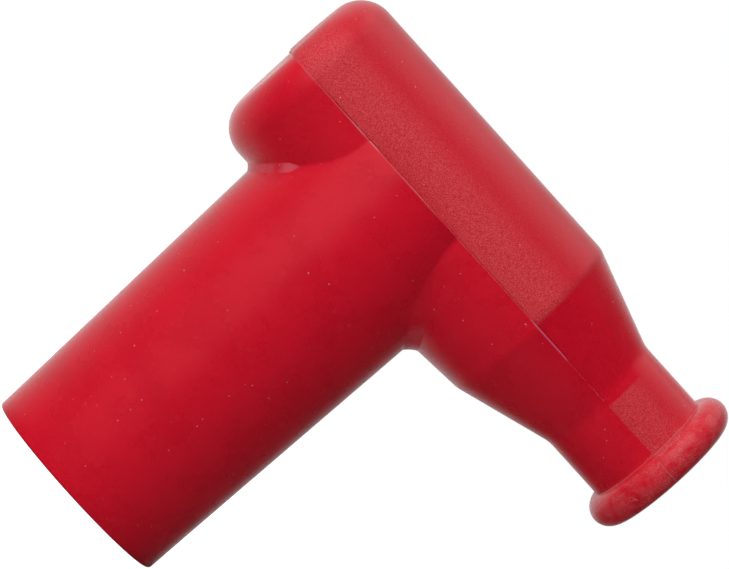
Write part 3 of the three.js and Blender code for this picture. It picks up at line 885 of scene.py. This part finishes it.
def dust_group(name):
    """Scattered specks of dust of uneven size, as a mask."""
    defaults = {"Spacing": 1.2 * MM, "Speck Size": 0.07, "Share": 0.3}
    group, (position, spacing, size, share) = new_group(name, defaults, ["Specks"])
    least_size = 0.4
    edge_steepness = 2.5
    pattern = cells(position, spacing)
    pick = node(group, "ShaderNodeSeparateColor", {"Color": pattern["Color"]}).outputs
    chosen = math_node(group, "LESS_THAN", pick["Red"], share)
    near = 1.0 - Signal(pattern["Distance"]) / (size * (Signal(pick["Green"]) + least_size))
    node(group, "NodeGroupOutput", {"Specks": chosen * (near * edge_steepness).capped()})
    return group


def hair_line_group(name):
    """Fine curled scratches, as a mask."""
    group, (position, size) = new_group(name, {"Curl Size": 1.6 * MM}, ["Lines"])
    middle = 0.5
    patches_to_curls = 1.25
    line = abs(noise(position, size, detail=1.0) - middle).eased(low=0.008, high=0.001)
    shown = noise(position, size * patches_to_curls, detail=3.0).eased(low=0.5, high=0.6)
    node(group, "NodeGroupOutput", {"Lines": line * shown})
    return group


def wear_group(name):
    """Edges that are rubbed brighter, as a mask."""
    defaults = {"Patch Size": 0.8 * MM, "Amount": 0.6}
    group, (position, size, wear) = new_group(name, defaults, ["Worn"])
    edge = Signal(node(group, "ShaderNodeNewGeometry").outputs["Pointiness"]).eased(low=0.5, high=0.62)
    patches = noise(position, size, detail=3.0).eased(low=0.35, high=0.6)
    node(group, "NodeGroupOutput", {"Worn": (edge * patches * wear).capped()})
    return group


SHARED_GROUPS = {
    "Fine Grain": grain_group,
    "Slow Mottle": mottle_group,
    "Dust Specks": dust_group,
    "Hair Lines": hair_line_group,
    "Edge Wear": wear_group,
}


def placed(position, name, **inputs):
    """Puts a shared node group into a material and gives its outputs. It is built only once."""
    group = bpy.data.node_groups.get(name) or SHARED_GROUPS[name](name)
    values = {key.replace("_", " ").title(): value for key, value in inputs.items()}
    values["Position"] = position
    made = node(position.tree, "ShaderNodeGroup", values, node_tree=group)
    return [Signal(socket) for socket in made.outputs]


def new_material(name):
    """An empty material, and the object position that its patterns use."""
    made = bpy.data.materials.new(name)
    made.use_nodes = True
    made.node_tree.nodes.clear()
    return made, Signal(node(made.node_tree, "ShaderNodeTexCoord").outputs["Object"])


def finish_material(height, distance, strength, inputs):
    """Adds a material's Principled shader, with a bump that follows a height."""
    tree = height.tree
    bump = node(tree, "ShaderNodeBump", {"Height": height, "Distance": distance, "Strength": strength})
    shader = node(tree, "ShaderNodeBsdfPrincipled", {**inputs, "Normal": bump.outputs["Normal"]})
    node(tree, "ShaderNodeOutputMaterial", {"Surface": shader.outputs["BSDF"]})


def silicone_material(sizes, colours):
    """Red moulded silicone: satin on the leg and the lower half, blasted grain on the upper half."""
    made, position = new_material("Moulded Silicone")
    tree = position.tree
    place = node(tree, "ShaderNodeSeparateXYZ", {"Vector": position}).outputs
    along = Signal(place["X"]) - leg_axis()
    rise = Signal(place["Z"]) - sizes.arm_height
    grain, bright_grains = placed(position, "Fine Grain", grain_size=0.11 * MM)
    satin, satin_grains = placed(position, "Fine Grain", grain_size=0.09 * MM)
    (mottle,) = placed(position, "Slow Mottle", patch_size=5 * MM)
    (scuffs,) = placed(position, "Slow Mottle", patch_size=1.3 * MM)
    (lines,) = placed(position, "Hair Lines", curl_size=1.8 * MM)
    (specks,) = placed(position, "Dust Specks", spacing=0.9 * MM, speck_size=0.07, share=0.5)
    # Marks of the pale flash and strips: thin silicone and a painted highlight.
    torn = Signal(node(tree, "ShaderNodeAttribute", attribute_name=FLASH_AND_HIGHLIGHT_MARK).outputs["Fac"])

    # The blasted finish covers the upper barrel and a patch on the neck. Its grain, with painted glints,
    # fades upwards out of a painted sheen band above the parting plane.
    barrel_end = sizes.shoulder_reach + PAST_SHOULDER
    frayed = grain * SHOULDER_FRAY + along
    on_barrel = frayed.eased(barrel_end + SHOULDER_BLUR, barrel_end - SHOULDER_BLUR)
    neck_start = sizes.shoulder_reach + sizes.cone_length + PAST_CONE
    on_neck = along.eased(neck_start, neck_start + NECK_PATCH_START) * rise.eased(*NECK_PATCH_TOP)
    neck_patch = on_neck * along.eased(*NECK_PATCH_END) * NECK_PATCH
    blasted = rise.eased(*PARTING_BLUR) * (on_barrel + neck_patch).capped()
    # Painted sheen band: the grain's glints are strongest just above the parting plane.
    band = rise.eased(*SHEEN_BAND_TOP)
    grain_and_sheen_band = blasted * (band * (1 - GRAIN_PAST_SHEEN_BAND) + GRAIN_PAST_SHEEN_BAND)

    # The rolled lip is scratched and scuffed.
    lip_start, lip_full = (sizes.lip_reach - inset for inset in LIP_START)
    on_lip = along.eased(lip_start, lip_full)
    scratched = lines * (on_lip * LINES_ON_LIP + LINES_ELSEWHERE)
    scuffed = scuffs * on_lip * (bright_grains * SCUFFS_IN_GRAIN + SCUFFS_ELSEWHERE)

    smooth, dust_and_glint = colours.silicone, colours.dust
    base = blended(mottle, shaded(smooth, DEEPER), smooth)
    # Painted glints on the satin grain, in the dust colour.
    base = blended(satin_grains**SATIN_GLINT_POWER * SATIN_GLINT, base, dust_and_glint)
    # The blasted half's darker tone, partly painted shade.
    base = blended(blasted, base, colours.blasted)
    # Painted glints on the blasted grain, strongest in the painted sheen band.
    base = blended(bright_grains * grain_and_sheen_band, base, colours.grain)
    # Pale flash and strips: thin silicone, partly a painted highlight.
    off_cone = abs(along - (sizes.shoulder_reach + CONE_FLASH_MIDDLE))
    thin = blended(off_cone.eased(*CONE_FLASH_ENDS), colours.flash, colours.cone_flash)
    base = blended(torn * FLASH_AND_HIGHLIGHT_SHARE, base, thin)
    base = blended(specks * PALE_DUST + scratched + scuffed, base, dust_and_glint)

    height = (grain - MEAN_GRAIN_HEIGHT) * grain_and_sheen_band + satin * SATIN_HEIGHT + specks * DUST_HEIGHT
    least_roughness, grain_roughness, mottle_roughness = 0.25, 0.22, 0.06
    shader_inputs = {
        "Base Color": base,
        "Roughness": grain_and_sheen_band * grain_roughness + mottle * mottle_roughness + least_roughness,
        "Specular IOR Level": 0.2,
        "Sheen Weight": 0.8,
        "Sheen Roughness": 0.25,
        "Sheen Tint": (1.0, 0.75, 0.75, 1.0),
    }
    finish_material(height, distance=0.06 * MM, strength=0.9, inputs=shader_inputs)
    return made


def moulded_material(name, tone, roughness, grain, wear):
    """A moulded or fired body with a fine grain, in millimetres, a slow mottle and a little dust."""
    made, position = new_material(name)
    height, bright_grains = placed(position, "Fine Grain", grain_size=grain * MM)
    (mottle,) = placed(position, "Slow Mottle", patch_size=3 * MM)
    (specks,) = placed(position, "Dust Specks", spacing=0.9 * MM)
    (paled,) = placed(position, "Edge Wear", amount=wear)
    grain_roughness = 0.12
    base = blended(mottle, tone, shaded(tone, gain=0.8))
    base = blended((paled + specks).capped(), base, shaded(tone, gain=1.5, lift=0.01))
    shader_inputs = {"Base Color": base, "Roughness": bright_grains * grain_roughness + roughness}
    finish_material(height, distance=0.02 * MM, strength=0.5, inputs=shader_inputs)
    return made


def metal_material(name, tone, roughness):
    """Turned or drawn metal with a slow tarnish and rubbed edges."""
    made, position = new_material(name)
    (mottle,) = placed(position, "Slow Mottle", patch_size=1.6 * MM)
    height, _ = placed(position, "Fine Grain", grain_size=0.07 * MM)
    (paled,) = placed(position, "Edge Wear", amount=0.8)
    tarnish_roughness, wear_roughness = 0.14, -0.08
    base = blended(mottle, tone, shaded(tone, gain=0.7))
    base = blended(paled, base, shaded(tone, gain=1.3))
    rough = mottle * tarnish_roughness + paled * wear_roughness + roughness
    shader_inputs = {"Base Color": base, "Roughness": rough, "Metallic": 1.0}
    finish_material(height, distance=0.008 * MM, strength=0.4, inputs=shader_inputs)
    return made


def dress(material, *names):
    """Gives CAD nodes a material in place of the one they were packed with."""
    for name in names:
        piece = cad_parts[name]
        piece.data.materials.clear()
        piece.data.materials.append(material)
        for polygon in piece.data.polygons:
            polygon.material_index = 0


class PLUGCAP_OT_build_boot(Operator):
    """Build the moulded boot with its bores, parting flash and finishes"""

    bl_idname = "plugcap.build_boot"
    bl_label = "Build Boot"

    def execute(self, context):
        sizes = context.scene.cap_boot
        boot = bpy.data.objects.new("moulded_boot", boot_skin(sizes))
        context.scene.collection.objects.link(boot)
        cut_from(boot, bore_tools(sizes, context.scene.cap_bores))
        boot.data.name = "moulded_boot"
        boot.data.transform(Matrix.Translation((leg_axis(), 0, 0)))
        boot.data.shade_smooth()
        boot.data.set_sharp_from_angle(angle=SHARP_EDGE)
        boot.data.materials.clear()
        boot.data.materials.append(silicone_material(sizes, context.scene.cap_colours))
        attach(boot, "root")
        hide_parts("boot")
        return {"FINISHED"}


class PLUGCAP_OT_finish_inside(Operator):
    """Give the insert, the resistor and the metal pieces their finishes"""

    bl_idname = "plugcap.finish_inside"
    bl_label = "Finish Inside"

    def execute(self, context):
        colours = context.scene.cap_colours
        black, pale = colours.phenolic, colours.ceramic
        phenolic = moulded_material("Moulded Phenolic", black, roughness=0.42, grain=0.12, wear=0.5)
        ceramic = moulded_material("Fired Ceramic", pale, roughness=0.55, grain=0.08, wear=0.2)
        brass = metal_material("Turned Brass", colours.brass, roughness=0.24)
        steel = metal_material("Spring Steel", colours.steel, roughness=0.28)
        dress(phenolic, "insert_body")
        dress(ceramic, "resistor_rod")
        dress(brass, "terminal_socket", "contact_block", "lead_screw", "end_plug")
        dress(steel, "snap_clip", "resistor_cap_plug_side", "resistor_cap_lead_side", "stack_spring")
        return {"FINISHED"}


def white_to_the_eye(direction, pale_side):
    """1 where the plain white is seen: by the camera, and on the pale side in gloss and through glass.

    The other side stays dark there, so gloss that faces it keeps the part's own colour.
    """
    tree = direction.tree
    path = node(tree, "ShaderNodeLightPath").outputs
    dot = node(tree, "ShaderNodeVectorMath", {0: direction, 1: pale_side}, operation="DOT_PRODUCT")
    facing = Signal(dot.outputs["Value"]).eased(low=0.1, high=0.9)
    shiny = Signal(path["Is Glossy Ray"]) + path["Is Transmission Ray"]
    return (shiny.capped() * facing + path["Is Camera Ray"]).capped()


def light_world(ambient, pale_side):
    """A plain world: an even light on the part, and white to the eye."""
    world = bpy.data.worlds.new("Plain White")
    world.use_nodes = True
    tree = world.node_tree
    tree.nodes.clear()
    light = node(tree, "ShaderNodeBackground", {"Color": WHITE, "Strength": ambient})
    white = node(tree, "ShaderNodeBackground", {"Color": WHITE, "Strength": 1.0})
    direction = Signal(node(tree, "ShaderNodeTexCoord").outputs["Generated"])
    seen = white_to_the_eye(direction, pale_side)
    mix = node(tree, "ShaderNodeMixShader", {0: seen, 1: light.outputs[0], 2: white.outputs[0]})
    node(tree, "ShaderNodeOutputWorld", {"Surface": mix.outputs[0]})
    bpy.context.scene.world = world


def floor_material(pale_side):
    """Pale floor that looks white and still takes the part's shadow. Gloss shows only its white."""
    made, position = new_material("Pale Floor")
    tree = position.tree
    in_gloss = Signal(node(tree, "ShaderNodeLightPath").outputs["Is Glossy Ray"])
    matte = node(tree, "ShaderNodeBsdfDiffuse", {"Color": blended(in_gloss, FLOOR_GREY, BLACK)})
    unit = node(tree, "ShaderNodeVectorMath", {0: position}, operation="NORMALIZE")
    seen = white_to_the_eye(Signal(unit.outputs["Vector"]), pale_side)
    glow = node(tree, "ShaderNodeEmission", {"Color": WHITE, "Strength": seen * FLOOR_GLOW})
    both = node(tree, "ShaderNodeAddShader", {0: matte.outputs[0], 1: glow.outputs[0]})
    node(tree, "ShaderNodeOutputMaterial", {"Surface": both.outputs[0]})
    return made


def soft_light(name, place, aim, size, power, in_gloss):
    """A square area light at a place, turned towards a point, and mirrored in gloss or not."""
    data = bpy.data.lights.new(name, "AREA")
    data.shape = "SQUARE"
    data.size = size
    data.energy = power
    lamp = bpy.data.objects.new(name, data)
    bpy.context.scene.collection.objects.link(lamp)
    lamp.visible_glossy = in_gloss
    lamp.location = place
    lamp.rotation_euler = (aim - place).to_track_quat("-Z", "Y").to_euler()


def picture_axes(settings):
    """Camera place, and the directions right, up and back in the picture."""
    axis = leg_axis()
    yaw = settings.camera_yaw
    place = Vector(
        (
            axis - settings.camera_distance * math.sin(yaw),
            -settings.camera_distance * math.cos(yaw),
            settings.camera_height,
        )
    )
    ahead = (Vector((axis + settings.aim_along, 0, settings.aim_height)) - place).normalized()
    level = ahead.cross(Vector((0, 0, 1))).normalized()
    upright = level.cross(ahead)
    roll = settings.camera_roll
    right = level * math.cos(roll) + upright * math.sin(roll)
    up = upright * math.cos(roll) - level * math.sin(roll)
    return place, (right, up, -ahead)


def in_picture(axes, shares):
    """The sum of shares of the picture's right, up and back."""
    return sum((axis * share for axis, share in zip(axes, shares)), Vector((0, 0, 0)))


class PLUGCAP_OT_build_stage(Operator):
    """Build the pale floor, the plain world and the soft lights"""

    bl_idname = "plugcap.build_stage"
    bl_label = "Build Stage"

    def execute(self, context):
        settings = context.scene.cap_studio
        context.scene.view_settings.view_transform = "Standard"
        _, axes = picture_axes(settings)
        pale_side = in_picture(axes, PALE_SIDE).normalized()
        light_world(settings.ambient, pale_side)
        mesh = bpy.data.meshes.new("floor")
        corners = [(x * FLOOR_REACH, y * FLOOR_REACH, 0) for x, y in ((-1, -1), (1, -1), (1, 1), (-1, 1))]
        mesh.from_pydata(corners, [], [(0, 1, 2, 3)])
        floor = bpy.data.objects.new("floor", mesh)
        floor.location.z = -FLOOR_DROP
        context.scene.collection.objects.link(floor)
        mesh.materials.append(floor_material(pale_side))
        middle = Vector((leg_axis() + settings.aim_along, 0, settings.aim_height))
        for name, (shares, size), power, in_gloss in (
            ("key", KEY_LIGHT, settings.key_power, True),
            ("fill", FILL_LIGHT, settings.fill_power, False),
            ("rim", RIM_LIGHT, settings.rim_power, True),
        ):
            soft_light(name, middle + in_picture(axes, shares), middle, size, power, in_gloss)
        return {"FINISHED"}


class PLUGCAP_OT_place_camera(Operator):
    """Place the camera as in the picture"""

    bl_idname = "plugcap.place_camera"
    bl_label = "Place Camera"

    def execute(self, context):
        settings = context.scene.cap_studio
        place, axes = picture_axes(settings)
        data = bpy.data.cameras.new("camera")
        data.lens = settings.lens
        data.sensor_width = SENSOR_WIDTH_MM
        data.clip_start = CLIP_START
        camera = bpy.data.objects.new("camera", data)
        context.scene.collection.objects.link(camera)
        turn = Matrix(axes).transposed().to_4x4()
        camera.matrix_world = Matrix.Translation(place) @ turn
        context.scene.camera = camera
        return {"FINISHED"}


class PLUGCAP_PT_panel(Panel):
    """Sizes, colours and steps of the plug cap"""

    bl_idname = "PLUGCAP_PT_panel"
    bl_label = "Spark Plug Cap"
    bl_space_type = "VIEW_3D"
    bl_region_type = "UI"
    bl_category = "Plug Cap"

    def draw(self, context):
        layout = self.layout
        for step in STEPS:
            layout.operator(step.bl_idname)
        for key, label in LABELS.items():
            group = getattr(context.scene, key)
            box = layout.box()
            box.label(text=label)
            for name in group.__annotations__:
                box.prop(group, name)


LABELS = {"cap_boot": "Boot", "cap_bores": "Bores", "cap_colours": "Colours", "cap_studio": "Studio"}
GROUPS = dict(zip(LABELS, (BootSizes, BoreSizes, CapColours, StudioSettings)))
STEPS = (
    PLUGCAP_OT_build_boot,
    PLUGCAP_OT_finish_inside,
    PLUGCAP_OT_build_stage,
    PLUGCAP_OT_place_camera,
)
CLASSES = (*GROUPS.values(), *STEPS, PLUGCAP_PT_panel)


def register():
    """Registers the classes and puts the sizes and colours on the scene."""
    for each in CLASSES:
        bpy.utils.register_class(each)
    for key, group in GROUPS.items():
        setattr(bpy.types.Scene, key, PointerProperty(type=group))


def unregister():
    """Takes the properties and the classes away again."""
    for key in GROUPS:
        delattr(bpy.types.Scene, key)
    for each in reversed(CLASSES):
        bpy.utils.unregister_class(each)


def main():
    """Builds the part and its studio."""
    register()
    bpy.ops.plugcap.build_boot()
    bpy.ops.plugcap.finish_inside()
    bpy.ops.plugcap.build_stage()
    bpy.ops.plugcap.place_camera()


if __name__ == "__main__":
    main()
